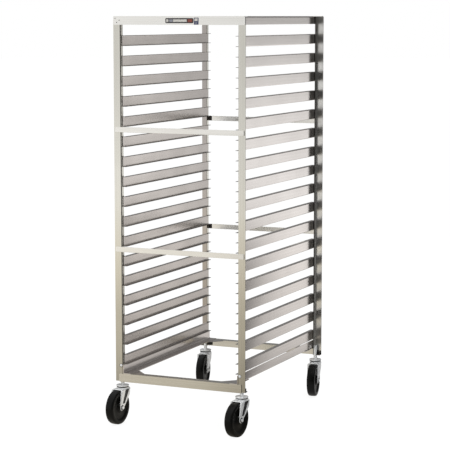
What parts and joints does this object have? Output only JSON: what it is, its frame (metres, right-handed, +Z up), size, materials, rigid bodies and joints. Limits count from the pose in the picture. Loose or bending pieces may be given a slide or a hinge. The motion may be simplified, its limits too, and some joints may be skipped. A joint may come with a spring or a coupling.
{
  "type": "sheet pan rack",
  "caption": "Tall open end-loading steel rack on swivel stem casters: paired folded channel slides carry sheet pans between corner posts, with welded top and base frames and flat tie bars.",
  "frame": {"origin": "centre of the overall bounding box at floor level, with the casters in their rest directions; the middle of the posts is 2 mm towards -X and 38 mm towards +Y of it", "axes": "+Z up; pans load along Y, and -Y is the end whose casters stick out past the posts; +X is to the right seen from that end"},
  "size_m": [0.5472, 0.8662, 1.5045],
  "materials": {
    "stainless": "rolled stainless sheet, fine grain along each piece, soft sheen",
    "zinc_plate": "bright zinc plated pressed steel",
    "wheel_phenolic": "moulded black resin, satin to glossy"
  },
  "bodies": {
    "rack": {"slide_left_01": "stainless", "slide_left_02": "stainless", "slide_left_03": "stainless", "slide_left_04": "stainless", "slide_left_05": "stainless", "slide_left_06": "stainless", "slide_left_07": "stainless", "slide_left_08": "stainless", "slide_left_09": "stainless", "slide_left_10": "stainless", "slide_left_11": "stainless", "slide_left_12": "stainless", "slide_left_13": "stainless", "slide_left_14": "stainless", "slide_left_15": "stainless", "slide_left_16": "stainless", "slide_left_17": "stainless", "slide_right_01": "stainless", "slide_right_02": "stainless", "slide_right_03": "stainless", "slide_right_04": "stainless", "slide_right_05": "stainless", "slide_right_06": "stainless", "slide_right_07": "stainless", "slide_right_08": "stainless", "slide_right_09": "stainless", "slide_right_10": "stainless", "slide_right_11": "stainless", "slide_right_12": "stainless", "slide_right_13": "stainless", "slide_right_14": "stainless", "slide_right_15": "stainless", "slide_right_16": "stainless", "slide_right_17": "stainless", "top_frame": "stainless", "base_frame": "stainless", "tie_bar_front_upper": "stainless", "tie_bar_front_lower": "stainless", "tie_bar_rear_upper": "stainless", "tie_bar_rear_lower": "stainless", "post_front_left": "stainless", "caster_stem_front_left": "zinc_plate", "post_front_right": "stainless", "caster_stem_front_right": "zinc_plate", "post_rear_left": "stainless", "caster_stem_rear_left": "zinc_plate", "post_rear_right": "stainless", "caster_stem_rear_right": "zinc_plate"},
    "fork_front_left": {"caster_fork_front_left": "zinc_plate", "caster_axle_front_left": "zinc_plate"},
    "wheel_front_left": {"caster_wheel_front_left": "wheel_phenolic"},
    "fork_front_right": {"caster_fork_front_right": "zinc_plate", "caster_axle_front_right": "zinc_plate"},
    "wheel_front_right": {"caster_wheel_front_right": "wheel_phenolic"},
    "fork_rear_left": {"caster_fork_rear_left": "zinc_plate", "caster_axle_rear_left": "zinc_plate"},
    "wheel_rear_left": {"caster_wheel_rear_left": "wheel_phenolic"},
    "fork_rear_right": {"caster_fork_rear_right": "zinc_plate", "caster_axle_rear_right": "zinc_plate"},
    "wheel_rear_right": {"caster_wheel_rear_right": "wheel_phenolic"}
  },
  "joints": [
    {"name": "swivel_front_left", "type": "hinge", "parent": "rack", "child": "fork_front_left", "pos_m": [-0.24425, -0.33097, 0.1375], "axis": [0, 0, 1], "continuous": true},
    {"name": "roll_front_left", "type": "hinge", "parent": "fork_front_left", "child": "wheel_front_left", "pos_m": [-0.2469, -0.36888, 0.0635], "axis": [0.9976, -0.0698, 0], "continuous": true},
    {"name": "swivel_front_right", "type": "hinge", "parent": "rack", "child": "fork_front_right", "pos_m": [0.23975, -0.33097, 0.1375], "axis": [0, 0, 1], "continuous": true},
    {"name": "roll_front_right", "type": "hinge", "parent": "fork_front_right", "child": "wheel_front_right", "pos_m": [0.23511, -0.36869, 0.0635], "axis": [0.9925, -0.1219, 0], "continuous": true},
    {"name": "swivel_rear_left", "type": "hinge", "parent": "rack", "child": "fork_rear_left", "pos_m": [-0.24425, 0.40603, 0.1375], "axis": [0, 0, 1], "continuous": true},
    {"name": "roll_rear_left", "type": "hinge", "parent": "fork_rear_left", "child": "wheel_rear_left", "pos_m": [-0.23766, 0.36861, 0.0635], "axis": [0.9848, 0.1736, 0], "continuous": true},
    {"name": "swivel_rear_right", "type": "hinge", "parent": "rack", "child": "fork_rear_right", "pos_m": [0.23975, 0.40603, 0.1375], "axis": [0, 0, 1], "continuous": true},
    {"name": "roll_rear_right", "type": "hinge", "parent": "fork_rear_right", "child": "wheel_rear_right", "pos_m": [0.24635, 0.36861, 0.0635], "axis": [0.9848, 0.1736, 0], "continuous": true}
  ]
}
